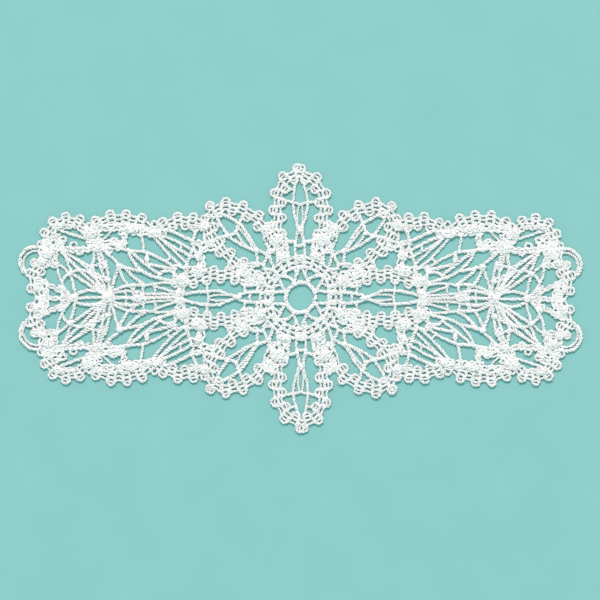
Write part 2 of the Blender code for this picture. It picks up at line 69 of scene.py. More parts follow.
# How far a cord runs in one full turn of its plies, which is less for a fine one, up to this width
TURN = 1.9
FINE_TURN = 1.6
FINE_WIDTH = 1.0

# How finely a thread is divided, round it and along one turn of a cord
PLY_SIDES = 5
SAMPLES_PER_TURN = 6.7

# How a cord lies: past its ends, above the floor, and with how much difference from cord to cord
END_REACH = 0.25
CORD_HEIGHT = 0.6
FLOOR_CLEARANCE = 0.03
HEIGHT_SPREAD = 0.08
WIDTH_SPREAD = 0.05

# Unevenness of a cord's stitches from bead to bead
BEAD = 0.8
SWELL = 0.15
RADIUS_SPREAD = 0.24
SWING_SPREAD = 0.35
SIDE_SPREAD = 0.1
TURN_SPREAD = 0.8

# Strands wider than one cord are cords side by side that sway into each other
CORD_PITCH = 1.05
OVERLAP = 1.12
SWAY = 0.2
SWAY_LENGTH = 2.4

# Wide fillings are two layers of thread laid to and fro across them, each with its own slant. The layers are
# lower at the edges, and their turns are uneven in reach and in place
FILLING_WIDTH = 2.3
FILLING_SLANTS = (0.95, -0.85)
FILLING_PITCH = 1.85
FILLING_RADIUS = 0.29
FILLING_LEVEL = 0.72
FILLING_DIP = 0.15
REACH_SPREAD = 0.2
PLACE_SPREAD = 0.15
LAYER_STEP = 0.48

# Wavy threads along a filling: one at each edge, and one in the middle where it is wider than this
MIDDLE_THREAD_WIDTH = 3.0
EDGE_RADIUS = 0.4
EDGE_STEP = 0.42
EDGE_WOBBLE = 0.1
EDGE_WAVE = 0.24
EDGE_WAVE_LENGTH = 2.3

# Threads of fillings and knots are lumpy, as a share of their radius, and rise and sink from stitch to stitch
LUMPS = 0.25
JUMPS = 0.2

# Braid: three rails that wave together, a rung between each two rings, and the rings
RAILS = (-1.25, 0.0, 1.25)
RAIL_WIDTH = 0.86
RAIL_WAVE = 0.28
RUNG_REACH = 1.4
RUNG_WIDTH = 1.1
RING_RADIUS = 1.7
RING_OFFSET = 1.45
RING_WIDTH = 1.0
RING_HEIGHT = 0.66

# Centre medallion: a ring of cord round the open centre, then three rings of cord tied by two rows of spokes
CENTRE_RING = 4.68
CENTRE_RING_WIDTH = 1.6
MEDALLION_RINGS = (9.5, 11.1, 12.7)
MEDALLION_CORD = 1.12
SPOKES = 28
SPOKE_WIDTH = 1.5
SPOKE_STEPS = 5

# Knots: lumpy layers of thread laid to and fro over a low padding, each at its own angle in degrees
SATIN_LEANS = (15, 75, -45)
LEAN_SPREAD = 14
SATIN_PITCH = 0.95
SATIN_RADIUS = 0.29

# The lines of a layer: the share of the knot that they cover from side to side, how unevenly they end, and
# the least square of half a line
SATIN_SHARE = 0.88
SATIN_SPREAD = 0.12
LEAST_SQUARE = 0.01

# The layers are domed: how high they rise, as a share of the room above the foot, and how blunt the dome is
KNOT_FOOT = 0.35
KNOT_TOP = 1.4
SATIN_RISE = 0.85
DOME_BLUNTNESS = 0.4

# The padding's dome, as shares of the knot's width and of its height
PADDING_SIDES = 12
PADDING_LEVELS = 4
PADDING_SHARE = 0.86
PADDING_RISE = 0.7

# Ground of stitches below the cords: how low and high it lies
GROUND_LOW = 0.06
GROUND_HIGH = 0.4

# How wide the ground is: shares of the widths of cords and knots, and widths below fillings, rails and rungs
GROUND_SHARE = 0.45
GROUND_KNOT = 0.85
GROUND_FILLING = 0.6
GROUND_RAIL = 0.46
GROUND_RUNG = 0.5

# How the ground is divided: steps along arcs, rails and cords, the stretch of a filling that it covers, how
# far a strand's end reaches and how broad it is as shares of the width, and the sides of an oval
ARC_STEP = 1.5
RAIL_STEP = 1.5
GROUND_STEP = 2.6
GROUND_STRETCH = (0.15, 0.85)
END_ROUND = 0.4
END_BREADTH = 0.25
OVAL_SIDES = 10

# Of the ground's triangulation, only the triangles inside an outline
INSIDE_ONLY = 1

# Unevenness of the stitched piece, as the solid has it
RIGHT_SAG = 0.8
LEFT_SAG = 0.25
LEFT_PULL = 0.45
LOWER_PETAL_STRETCH = 0.012
PETAL_LEAN = 0.3
WAVER = 0.14
WAVER_LENGTH = 23.0
WAVER_DRIFT = 0.065
LACE_HALF_LENGTH = 89.0
PETAL_HALF_WIDTH = 12.0
PETAL_REACH = 40.0

# What the camera sees: a frame this wide, about this point
VIEW_WIDTH = 0.1896
VIEW_X = -0.00013
VIEW_Y = -0.00053
CAMERA_HEIGHT = 0.9
CAMERA_REACH = 10.0
SENSOR = 36.0

# Light: a soft square lamp on the far side of the lace, in watts, and a pale surround
LAMP_PLACE = (-0.42, 4.35, 5.34)
LAMP_SIZE = 1.8
LAMP_POWER = 494.0
LAMP_COLOUR = (1.0, 0.72, 0.72)
SURROUND_COLOUR = (0.61, 1.0, 0.99, 1)
SURROUND_STRENGTH = 0.76

# Where a cloudy colour is wholly its darker and wholly its lighter shade
SHADE_AT = 0.3
LIGHT_AT = 0.7

# White thread: its shades, its clouds and fuzz in cells to a metre, and its fibres that run round and along
THREAD_SHADE = (0.7, 0.71, 0.7, 1)
CORDED_LIGHT = (0.94, 0.94, 0.93, 1)
SATIN_LIGHT = (0.95, 0.95, 0.94, 1)
THREAD_CLOUDS = 1700.0
THREAD_FUZZ = 9000.0
FUZZ_DEPTH = 0.00003
FIBRE_STRETCH = (7.0, 2.4, 1.0)
FIBRE_WANDER = 2.5
FIBRE_DETAIL = 2.0
FIBRE_DEPTH = 0.00004
THREAD_RELIEF = 0.5
SHEEN_ROUGHNESS = 0.45
THREAD_SPECULAR = 0.4
ROUGHNESS_SPREAD = 0.08

# The ground's fine mesh of crossing threads
GROUND_SHADE = (0.78, 0.79, 0.78, 1)
GROUND_LIGHT = (0.88, 0.88, 0.87, 1)
GROUND_CLOUDS = 900.0
GROUND_SHEEN = 0.2
GROUND_ROUGHNESS = 0.8
WEAVE_SCALE = 420.0
WEAVE_WANDER = 3.0
WEAVE_RELIEF = 0.6
WEAVE_DEPTH = 0.00008

# The floor: a square of pale card that reaches this far from its middle, with a fine tooth
FLOOR_REACH = 0.8
CARD_SHADE = (0.208, 0.457, 0.442, 1)
CARD_LIGHT = (0.222, 0.471, 0.457, 1)
CARD_CLOUDS = 60.0
CARD_TOOTH = 1600.0
CARD_RELIEF = 0.5
CARD_DEPTH = 0.0001
CARD_ROUGHNESS = 0.9
CARD_SPECULAR = 0.2

Cord = namedtuple("Cord", "x0 y0 x1 y1 bow width", defaults=(0.0, CORD))
Ray = namedtuple("Ray", "x0 y0 x1 y1 bow width ties")
Braid = namedtuple("Braid", "bends half_pitch first_ring first_side inner_rings", defaults=(True,))
Ring = namedtuple("Ring", "x y radius")
Knot = namedtuple("Knot", "x y half_length half_width turn")

# The spokes of the medallion
MEDALLION = [
    Cord(2.4, 4.4, 0.2, 9.9),
    Cord(2.2, 5.0, 7.2, 6.5, 0.9),
    Cord(4.9, 2.0, 7.2, 6.4),
    Cord(4.9, 2.0, 9.6, 1.5, 0.1),
    Cord(8.8, 0.0, 8.9, 1.8),
    Cord(4.9, 6.6, 5.2, 9.6),
    Cord(1.3, 7.2, 2.3, 9.6, 0.0, 1.0),
    Cord(8.5, 1.8, 7.8, 6.8, -0.3, 1.0),
    Cord(6.8, 4.3, 9.2, 3.0, 0.0, 1.1),
]

# The foot of the top petal and of the diagonal petal, round the medallion
PETAL_FEET = [
    Cord(1.5, 12.8, 1.5, 16.4, 0.0, 1.1),
    Cord(0.0, 16.3, 1.6, 16.4),
    Cord(1.5, 16.2, 0.6, 20.6),
    Cord(1.2, 17.2, 3.8, 17.8, 0.0, 1.4),
    Cord(3.6, 12.0, 4.4, 18.6, 0.0, DENSE - 2.0),
    Cord(5.2, 11.6, 5.8, 20.0, 0.0, DENSE),
    Cord(8.6, 14.4, 8.0, 20.0, 0.0, DENSE),
    Cord(8.4, 14.6, 10.4, 14.8, 0.0, HEAVY),
    Cord(8.8, 8.9, 12.0, 9.2, 0.0, 1.2),
    Cord(8.7, 9.0, 10.0, 13.2),
    Cord(7.3, 10.4, 7.4, 15.0, 0.0, 1.4),
    Cord(10.6, 7.2, 12.1, 10.4),
    Cord(12.1, 10.2, 10.7, 13.4),
    Cord(10.3, 12.9, 10.9, 17.2, 0.6),
    Cord(10.5, 13.0, 13.8, 14.8, 0.4),
    Cord(11.8, 10.6, 15.4, 10.7),
    Cord(13.8, 11.0, 14.2, 15.2),
    Cord(12.0, 6.3, 20.5, 8.6, 0.0, DENSE),
    Cord(13.6, 10.4, 19.5, 9.8, 0.0, HEAVY),
    Cord(8.4, 23.0, 11.6, 21.4, 0.0, DENSE),
]

# The cords inside the top petal
TOP_PETAL = [
    Cord(0.65, 20.0, 0.8, 22.8),
    Cord(0.8, 22.6, 2.4, 29.8, -0.3, 1.1),
    Cord(0.6, 22.6, 0.4, 29.4, -0.3, 0.7),
    Cord(0.0, 29.3, 2.6, 30.0, 0.0, 1.1),
    Cord(2.4, 29.9, 5.2, 30.5, 0.0, 1.1),
    Cord(2.4, 29.8, 0.7, 37.4, -0.25, 1.1),
    Cord(1.7, 33.8, 3.4, 34.4, 0.0, 0.9),
]

# The cords inside the diagonal petal
DIAGONAL_PETAL = [
    Cord(14.2, 15.0, 19.5, 23.4, 0.4),
    Cord(15.4, 15.0, 20.3, 20.4, -0.7, 0.9),
    Cord(15.2, 15.8, 20.3, 22.4, 0.35, 1.0),
    Cord(14.0, 14.6, 23.8, 19.8, -0.5),
    Cord(19.4, 22.9, 18.4, 26.2),
    Cord(19.2, 22.8, 26.6, 26.6, 0.5),
    Cord(21.1, 20.2, 19.6, 23.3, 0.3),
    Cord(20.2, 20.4, 23.4, 19.6, -0.2),
    Cord(23.0, 19.6, 26.6, 25.4, -0.3),
    Cord(22.9, 19.4, 27.0, 18.7),
]

# The cords inside the side petal
SIDE_PETAL = [
    Cord(12.6, 1.7, 19.6, 0.8, 0.3),
    Cord(16.2, 0.0, 16.0, 1.6, 0.0, 1.1),
    Cord(12.8, 4.4, 18.8, 4.5, 0.0, 2.2),
    Cord(13.7, 1.6, 13.8, 4.2, 0.0, 1.5),
    Cord(17.6, 1.4, 17.9, 4.2, 0.0, 1.1),
    Cord(19.4, 0.2, 25.6, 2.1, -0.3),
    Cord(25.4, 2.1, 31.2, 2.0, 0.1),
    Cord(31.0, 2.0, 38.0, 0.5, 0.3),
    Cord(21.0, 0.3, 28.9, 0.5, 0.55, 0.8),
    Cord(29.2, 0.0, 29.7, 2.3, 0.0, 1.0),
    Cord(29.7, 2.0, 29.9, 5.4, 0.0, 1.0),
    Cord(37.0, 1.2, 37.2, 3.4, 0.0, 1.2),
]

# The rims that bound the net: beside the diagonal petal and above the side petal
NET_RIMS = [
    Cord(31.7, 9.6, 32.8, 15.4, 0.2, 2.8),
    Cord(27.4, 16.6, 32.6, 15.8, 0.0, DENSE),
    Cord(32.4, 22.2, 34.0, 14.8, 1.0),
    Cord(31.6, 17.3, 34.9, 17.7, 0.0, HEAVY),
    Cord(36.8, 9.6, 34.6, 15.2),
    Cord(34.4, 9.5, 36.8, 9.9, 0.0, 1.2),
    Cord(36.6, 6.2, 39.8, 3.0, 0.0, DENSE + 0.6),
    Cord(36.4, 6.8, 36.6, 9.8, 0.0, HEAVY),
    Cord(49.9, 14.6, 51.0, 20.4, 0.1, 1.1),
    Cord(57.3, 10.4, 62.8, 15.3),
    Cord(60.2, 15.0, 63.2, 15.4, 0.0, 2.2),
    Cord(30.8, 17.6, 30.8, 21.0, 0.0, 0.9),
    Cord(33.4, 21.6, 35.0, 22.1, 0.0, 1.6),
]

# The cords of the net that rise from the heart beside the side petal, from the top down
NET_CORDS = [
    Cord(34.6, 18.0, 43.2, 21.4, 0.25),
    Cord(34.4, 14.8, 44.8, 19.5, 0.5, 1.15),
    Cord(34.4, 12.9, 45.2, 19.0, -0.4, 1.15),
    Cord(36.4, 10.9, 44.8, 18.6, 0.0, 1.0),
    Cord(37.2, 9.3, 46.8, 19.0, -0.55, 1.1),
    Cord(36.8, 9.5, 40.2, 10.1),
    Cord(39.6, 9.0, 50.2, 14.6, 0.5, 1.15),
    Cord(50.0, 14.6, 58.4, 15.9, -0.25),
    Cord(39.8, 8.8, 48.2, 10.6, -0.1),
    Cord(44.8, 7.1, 54.4, 15.0, -0.15),
    Cord(39.8, 7.2, 45.2, 6.4, 1.5),
    Cord(39.6, 4.9, 44.6, 6.1, -0.1),
    Cord(44.4, 6.0, 55.0, 15.4, -2.0),
    Cord(50.6, 8.5, 57.6, 10.2, -0.1),
    Cord(39.8, 4.4, 50.0, 3.9, 0.4, 1.1),
    Cord(49.8, 4.5, 55.6, 9.8, -0.5),
    Cord(39.2, 1.3, 46.8, 3.7, 0.0, 1.0),
    Cord(39.0, 0.9, 50.5, 1.4, -0.1, 1.05),
    Cord(38.0, 0.0, 62.0, 0.0, 0.0, 1.4),
]

# The cords of the net that run into the first node on the long axis
NET_FOOT = [
    Cord(49.6, 4.0, 60.4, 1.6, 1.1),
    Cord(50.0, 1.4, 60.6, 0.9, 1.1),
    Cord(57.6, 9.9, 54.6, 3.9, 0.4),
    Cord(57.6, 9.9, 60.5, 1.2, 0.15),
]

# The short ties of the net
NET_TIES = [
    Cord(38.3, 15.0, 38.2, 16.8, 0.0, TIE),
    Cord(41.6, 12.6, 42.8, 11.3, 0.0, TIE),
    Cord(40.3, 5.0, 40.2, 9.4, 0.0, 1.1),
    Cord(38.0, 6.4, 40.2, 6.8, 0.0, 1.2),
    Cord(48.6, 10.8, 49.0, 14.4, 0.0, 1.3),
    Cord(46.3, 1.9, 46.3, 4.2, 0.0, TIE),
    Cord(53.2, 2.6, 53.8, 4.2, 0.0, 1.6),
    Cord(52.4, 0.4, 52.8, 1.9, 0.0, 1.6),
    Cord(50.1, 2.0, 50.1, 4.4, 0.0, TIE),
    Cord(55.5, 0.4, 55.6, 2.6, 0.0, 0.9),
]

# The rays out of the first node on the long axis, from the top down
FIRST_STAR = [
    Ray(60.8, 0.6, 61.8, 11.6, 0.4, 1.2, (0.95,)),
    Ray(64.0, 3.4, 66.2, 10.2, 0.2, CORD, (0.85,)),
    Ray(61.8, 1.0, 75.4, 14.9, 1.7, 1.15, ()),
    Ray(62.2, 0.9, 75.4, 14.4, 0.05, 1.3, ()),
    Ray(62.2, 0.7, 72.9, 8.1, 0.0, CORD, ()),
    Ray(62.0, 0.8, 72.0, 0.6, 1.6, CORD, ()),
    Ray(61.0, 0.0, 72.0, 0.0, 0.0, 1.1, ()),
]

# The rays out of the second node, from the top round to the long axis
SECOND_STAR = [
    Ray(71.5, 0.6, 73.0, 7.8, 0.25, CORD, ()),
    Ray(72.3, 8.0, 75.0, 14.7, 0.0, 1.1, ()),
    Ray(72.8, 0.8, 76.9, 10.8, -1.0, 1.1, ()),
    Ray(72.6, 0.5, 83.0, 6.0, 0.0, 1.7, ()),
    Ray(72.0, 0.0, 83.0, 0.0, 0.0, 1.7, ()),
]

# The arches and rims of the end panel, and its corner loop of two cords
END_RIMS = [
    Cord(62.6, 9.4, 64.2, 15.4, 0.0, 2.2),
    Cord(60.6, 5.4, 66.6, 8.0, -0.2, HEAVY),
    Cord(75.6, 4.8, 66.4, 7.8, -2.4),
    Cord(66.1, 9.6, 65.4, 15.0, 0.3),
    Cord(73.2, 7.6, 77.4, 11.4, 0.4, 1.0),
    Cord(63.0, 2.8, 68.0, 8.6, 0.5, 1.2),
    Cord(61.5, 1.0, 63.2, 6.0, 0.15, 1.0),
    Cord(62.4, 6.4, 63.4, 9.8, 0.0, 1.1),
    Cord(74.8, 2.8, 76.4, 3.9, 0.0, 1.5),
    Cord(75.6, 0.3, 75.9, 2.6, 0.0, 1.1),
    Cord(76.4, 10.6, 83.4, 10.8, 0.0, 1.8),
    Cord(77.4, 10.8, 77.6, 16.4, 0.0, 2.0),
    Cord(80.4, 11.8, 80.6, 16.4, 0.0, DENSE + 1.2),
    Cord(67.4, 18.4, 77.6, 22.0, -0.15, 1.1),
    Cord(80.9, 0.0, 81.9, 5.4, 0.0, DENSE),
    Cord(82.0, 16.0, 87.4, 8.0, 3.6, 1.3),
    Cord(81.8, 14.7, 86.7, 8.2, 3.1, 0.9),
]

# Dense filling behind the border braids
FILLING = [
    Cord(44.6, 20.2, 50.6, 20.9, 0.0, DENSE - 0.6),
    Cord(50.2, 21.2, 57.6, 21.8, 0.2, DENSE + 0.4),
    Cord(57.0, 22.4, 65.6, 21.6, 0.3, DENSE - 0.8),
    Cord(63.6, 18.6, 68.4, 20.4, 0.0, DENSE),
    Cord(56.0, 16.8, 58.6, 16.6, 0.0, DENSE),
    Cord(58.0, 16.8, 67.4, 16.2, 0.3, DENSE - 0.2),
    Cord(63.0, 17.4, 67.8, 18.2, 0.0, HEAVY),
    Cord(67.0, 15.2, 76.8, 15.8, -0.3, 2.2),
    Cord(75.0, 16.8, 81.4, 17.2, 0.0, DENSE),
    Cord(76.4, 19.4, 78.4, 20.2, 0.0, 2.2),
    Cord(56.0, 17.0, 56.0, 22.0, -0.2, 2.0),
    Cord(60.0, 22.0, 63.6, 18.0, -0.5, 0.9),
    Cord(71.4, 22.5, 76.8, 22.0, 0.2, 1.6),
]

# Braids, each along a spine of a few bends, with its rings on alternate sides
BRAIDS = [
    Braid([(0.0, 39.4), (4.5, 37.1), (6.8, 33.2), (7.4, 28.4), (7.2, 24.0), (7.0, 19.0)], 2.55, 0.0, 1),
    Braid([(9.8, 18.4), (12.0, 22.8), (15.6, 26.2), (20.0, 28.1), (24.4, 28.7), (28.0, 27.2)], 2.65, 2.9, 1),
    Braid([(28.0, 27.2), (29.2, 23.6), (27.9, 19.2), (24.8, 14.8), (21.4, 11.4), (17.4, 9.0)], 2.65, 2.9, 1),
    Braid([(12.4, 5.4), (18.4, 6.5), (24.8, 7.3), (30.4, 6.9), (37.0, 5.0)], 2.33, 1.5, 1),
    Braid([(29.6, 23.0), (34.0, 24.0), (38.6, 24.3), (42.4, 23.0), (46.0, 20.4)], 2.3, 4.9, 1),
    Braid([(47.4, 20.9), (50.8, 23.8), (56.0, 25.1), (61.4, 24.7), (66.4, 21.9)], 2.3, 4.8, 1, False),
    Braid([(68.2, 20.8), (70.2, 23.2), (74.1, 24.3), (77.6, 23.3), (79.7, 20.4), (80.5, 16.6)],
          1.79, 3.9, 1, False),
    Braid([(82.2, 10.8), (83.5, 8.8), (84.4, 6.4), (83.8, 3.2), (82.4, 0.0)], 2.1, 1.9, -1),
]

# Rings that stand by themselves
RINGS = [
    Ring(28.9, 28.9, 1.75),
    Ring(46.5, 23.0, 1.5),
    Ring(67.0, 22.7, 1.4),
    Ring(59.3, 17.7, 1.6),
    Ring(69.8, 14.7, 1.5),
    Ring(71.9, 16.6, 1.5),
    Ring(75.3, 18.4, 1.5),
    Ring(83.9, 11.1, 1.6),
]

# Small rings inside two of those rings
INNER_RINGS = [
    Ring(28.9, 28.9, 0.95),
    Ring(83.9, 11.1, 0.85),
]

# Raised knots of satin stitch, turned by degrees
KNOTS = [
    Knot(0.0, 12.4, 2.2, 1.3, 0),
    Knot(7.4, 18.2, 2.6, 2.2, 20),
    Knot(5.2, 12.8, 2.2, 1.3, -10),
    Knot(12.4, 5.2, 2.2, 1.5, 60),
    Knot(10.4, 1.6, 1.6, 1.1, 0),
    Knot(13.9, 14.9, 1.2, 0.9, 45),
    Knot(20.0, 0.0, 1.5, 0.9, 0),
    Knot(0.0, 21.4, 1.4, 0.9, 90),
    Knot(32.6, 8.5, 3.3, 2.1, -12),
    Knot(32.8, 13.2, 1.8, 1.5, 60),
    Knot(37.6, 5.2, 2.6, 2.0, 30),
    Knot(38.6, 1.2, 2.1, 1.7, 0),
    Knot(30.8, 22.6, 2.2, 1.8, 0),
    Knot(46.6, 20.2, 2.8, 1.7, 0),
    Knot(48.9, 12.2, 0.9, 1.5, 0),
    Knot(51.2, 0.0, 3.0, 1.5, 0),
    Knot(57.4, 10.0, 1.4, 1.1, 0),
    Knot(61.0, 0.0, 2.3, 2.0, 0),
    Knot(61.2, 5.6, 1.1, 0.9, 0),
    Knot(72.9, 7.8, 1.2, 0.9, -30),
    Knot(54.0, 21.8, 3.0, 1.6, 5),
    Knot(67.0, 20.5, 2.8, 2.2, 0),
    Knot(64.6, 15.6, 2.0, 1.6, 0),
    Knot(72.0, 0.0, 1.8, 1.3, 0),
    Knot(76.2, 23.0, 1.9, 1.3, -20),
    Knot(79.8, 14.2, 2.2, 1.9, 0),
    Knot(81.6, 11.6, 1.6, 1.5, 0),
    Knot(83.6, 3.4, 1.6, 1.3, 90),
]

# The round cords of the medallion, by radius and width
ROUND_CORDS = [(CENTRE_RING, CENTRE_RING_WIDTH)]
ROUND_CORDS += [(radius, MEDALLION_CORD) for radius in MEDALLION_RINGS]

# For a mesh that has no triangles besides its quads
NO_CAPS = np.zeros((0, 3), int)

chance = np.random.default_rng(SEED)


class Pile:
    """The threads of one piece, gathered as quads, with a map that runs along and round each thread."""

    def __init__(self, name):
        self.name = name
        self.points = []
        self.quads = []
        self.caps = []
        self.maps = []
        self.count = 0

    def add(self, points, quads, caps, places):
        """Adds points, quads and triangles between them, and each quad's corners on the map."""
        self.points.append(points)
        self.quads.append(quads + self.count)
        self.caps.append(caps + self.count)
        self.maps.append(places)
        self.count += len(points)

    def thread(self, path, radius, closed=False):
        """Adds a round thread along a path."""
        ahead = onward(path, closed)
        ahead /= np.linalg.norm(ahead, axis=1)[:, None]
        side = np.cross(ahead, (0.0, 0.0, 1.0))
        side /= np.linalg.norm(side, axis=1)[:, None]
        up = np.cross(side, ahead)
        angles = round_angles(PLY_SIDES)
        spokes = side[:, None] * np.cos(angles)[:, None] + up[:, None] * np.sin(angles)[:, None]
        points = path[:, None] + spokes * np.reshape(radius, (-1, 1, 1))
        row, turn = row_and_turn(np.arange(len(path) if closed else len(path) - 1), PLY_SIDES)
        next_row, next_turn = (row + 1) % len(path), (turn + 1) % PLY_SIDES
        near, far = row * PLY_SIDES, next_row * PLY_SIDES
        quads = np.stack([near + turn, far + turn, far + next_turn, near + next_turn], axis=1)
        run = walked(path)
        run = np.append(run, run[-1] + np.linalg.norm(path[0] - path[-1]))
        lower, upper = turn / PLY_SIDES, (turn + 1) / PLY_SIDES
        here, there = run[row], run[row + 1]
        places = np.stack([lower, here, lower, there, upper, there, upper, here], axis=1)
        fan = np.array([[0, k, k + 1] for k in range(1, PLY_SIDES - 1)])
        caps = NO_CAPS if closed else np.concatenate([fan, fan[:, ::-1] + (len(path) - 1) * PLY_SIDES])
        self.add(points.reshape(-1, 3), quads, caps, places.reshape(-1, 4, 2))

    def build(self, material):
        """Makes the piece."""
        points = np.concatenate(self.points) * MM
        points[:, 1] += PATTERN_UP * MM
        quads, caps = np.concatenate(self.quads), np.concatenate(self.caps)
        corners = np.concatenate([quads.ravel(), caps.ravel()])
        starts = np.concatenate([np.arange(0, quads.size, 4), quads.size + np.arange(0, caps.size, 3)])
        places = np.concatenate([np.concatenate(self.maps).ravel(), np.zeros(2 * caps.size)])
        mesh = bpy.data.meshes.new(self.name)
        mesh.vertices.add(len(points))
        mesh.vertices.foreach_set("co", points.ravel())
        mesh.loops.add(len(corners))
        mesh.loops.foreach_set("vertex_index", corners)
        mesh.polygons.add(len(starts))
        mesh.polygons.foreach_set("loop_start", starts)
        mesh.update(calc_edges=True)
        mesh.uv_layers.new(name="strand").data.foreach_set("uv", places)
        mesh.shade_smooth()
        mesh.materials.append(material)
        return add_object(self.name, mesh)


def steps_in(length, step, fewest=3):
    """How many steps of about one size a length is cut into, and no fewer than a few."""
    return max(fewest, round(length / step))


def round_angles(count):
    """Evenly spaced angles round a circle."""
    return 2 * np.pi * np.arange(count) / count


def from_to(near, far, count):
    """The points from one place to another in equal steps."""
    return near + (far - near) * np.arange(count + 1)[:, None] / count


def spot_on(at, run, path):
    """What a path's points, or its directions, are at distances along it."""
    return np.stack([np.interp(at, run, path[:, k]) for k in (0, 1)], axis=-1)


def row_and_turn(rows, sides):
    """For each quad of a tube, its row along the tube and its place round it."""
    return (part.ravel() for part in np.meshgrid(rows, np.arange(sides), indexing="ij"))


def quarters(across_only=False, along_only=False):
    """The signs of x and y in each quarter. What lies on an axis has no copy on that axis's other side."""
    for flip_x in (1,) if across_only else (1, -1):
        for flip_y in (1,) if along_only else (1, -1):
            yield flip_x, flip_y


def add_object(name, data):
    """Adds an object made of that data to the scene."""
    made = bpy.data.objects.new(name, data)
    bpy.context.scene.collection.objects.link(made)
    return made


def place_on(cord, share):
    """The point at a share of the way along a cord: a straight run, or a round arc bowed to its left."""
    start, end = Vector((cord.x0, cord.y0)), Vector((cord.x1, cord.y1))
    if not cord.bow:
        return start.lerp(end, share)
    chord = end - start
    left = Vector((-chord.y, chord.x)).normalized()
    radius = (chord.length ** 2 / 4 + cord.bow ** 2) / (2 * cord.bow)
    angle = math.asin(chord.length / 2 / radius) * (2 * share - 1)
    centre = (start + end) / 2 + left * (cord.bow - radius)
    return centre + (chord.normalized() * math.sin(angle) + left * math.cos(angle)) * radius


def tied_cords(rays):
    """The rays of a fan, and the ties that join each to the next at the same share of their length."""
    cords = []
    for i, ray in enumerate(rays):
        cords.append(ray)
        for share in ray.ties:
            start, end = place_on(ray, share), place_on(rays[i + 1], share)
            cords.append(Cord(start.x, start.y, end.x, end.y, 0.0, TIE))
    return cords


def smooth_path(bends):
    """A smooth curve through a braid's bends, as points about one arc step apart."""
    knots = [Vector(b) for b in bends]
    knots = [2 * knots[0] - knots[1]] + knots + [2 * knots[-1] - knots[-2]]
    points = []
    for a, b, c, d in zip(knots, knots[1:], knots[2:], knots[3:]):
        count = steps_in((c - b).length, ARC_STEP, 2)
        for i in range(count):
            t = i / count
            cubic = (3 * b - a - 3 * c + d) * t ** 3
            square = (2 * a - 5 * b + 4 * c - d) * t ** 2
            points.append((2 * b + (c - a) * t + square + cubic) / 2)
    return points + [knots[-2]]


def uneven(points):
    """Where points of the even pattern lie in the stitched piece."""
    x, y = points[:, 0], points[:, 1]
    reach = np.abs(x) / LACE_HALF_LENGTH
    petal = np.maximum(0.0, 1 - np.abs(x) / PETAL_HALF_WIDTH)
    stretch = 1 + LOWER_PETAL_STRETCH * petal * (y < 0)
    lean = -PETAL_LEAN * petal * y / PETAL_REACH
    pull = LEFT_PULL * np.sin(np.pi * reach) * (x < 0)
    sag = np.where(x > 0, RIGHT_SAG, LEFT_SAG) * reach ** 2
    wave_x = WAVER * np.sin(2 * np.pi * y / WAVER_LENGTH + WAVER_DRIFT * x)
    wave_y = WAVER * np.sin(2 * np.pi * x / WAVER_LENGTH + WAVER_DRIFT * y)
    return np.stack([x + pull + lean + wave_x, y * stretch - sag + wave_y], axis=1)


def copies(path):
    """A path in each of the four quarters, once where it lies on an axis."""
    for flips in quarters(np.abs(path[:, 0]).max() < ON_AXIS, np.abs(path[:, 1]).max() < ON_AXIS):
        yield uneven(path * flips)


def onward(path, closed=False):
    """How a path runs on at each of its points, from the point before to the one after."""
    ahead = np.roll(path, -1, axis=0) - np.roll(path, 1, axis=0)
    if not closed:
        ahead[0], ahead[-1] = path[1] - path[0], path[-1] - path[-2]
    return ahead


def left_of(path, closed=False):
    """The direction to the left of a path at each of its points."""
    ahead = onward(path, closed)
    side = np.stack([-ahead[:, 1], ahead[:, 0]], axis=1)
    return side / np.linalg.norm(side, axis=1)[:, None]


def walked(path):
    """The distance along a path at each of its points."""
    return np.concatenate([[0.0], np.cumsum(np.linalg.norm(np.diff(path, axis=0), axis=1))])


def turn_length(width):
    """How far a cord runs in one full turn of its plies."""
    return TURN if width > FINE_WIDTH else FINE_TURN


def wander(run, length, spread):
    """A random change along a path, with a new value at each bead, and the same at both ends."""
    marks = np.linspace(0.0, length, steps_in(length, BEAD, 2) + 1)
    values = chance.uniform(-spread, spread, len(marks))
    values[-1] = values[0]
    return np.interp(run, marks, values)


def twist(pile, path, width, height=CORD_HEIGHT, closed=False):
    """Lays a cord of two twisted plies along a level path, uneven from bead to bead."""
    side = left_of(path, closed)
    run = walked(path)
    length = run[-1] + (np.linalg.norm(path[0] - path[-1]) if closed else 0.0)
    turns = length / turn_length(width)
    if closed:
        turns = max(2, round(turns))
    width = width * (1 + chance.uniform(-WIDTH_SPREAD, WIDTH_SPREAD))
    height = height + chance.uniform(-HEIGHT_SPREAD, HEIGHT_SPREAD)
    start = chance.uniform(0, 2 * np.pi)
    sideways = wander(run, length, SIDE_SPREAD)
    for ply in (0.0, np.pi):
        angle = start + ply + wander(run, length, TURN_SPREAD) + 2 * np.pi * turns * run / length
        crest = np.sin(angle)
        radius = PLY_RADIUS * width * (1 + SWELL * crest + wander(run, length, RADIUS_SPREAD))
        level = height + PLY_LIFT * width * crest
        swing = PLY_SWING * width * np.cos(angle) * (1 + wander(run, length, SWING_SPREAD))
        flat = path + side * (swing + sideways)[:, None]
        pile.thread(np.column_stack([flat, np.maximum(level, radius + FLOOR_CLEARANCE)]), radius, closed)


def cord_line(cord, step):
    """Points along a cord, a little past both its ends."""
    past = END_REACH / math.hypot(cord.x1 - cord.x0, cord.y1 - cord.y0)
    start, middle, end = (place_on(cord, share) for share in (0, 0.5, 1))
    length = (middle - start).length + (end - middle).length
    count = steps_in(length + 2 * END_REACH, step)
    return np.array([place_on(cord, -past + (1 + 2 * past) * i / count) for i in range(count + 1)])


def strands_across(width):
    """How many cords lie side by side in a strand."""
    return max(1, round(width / CORD_PITCH))


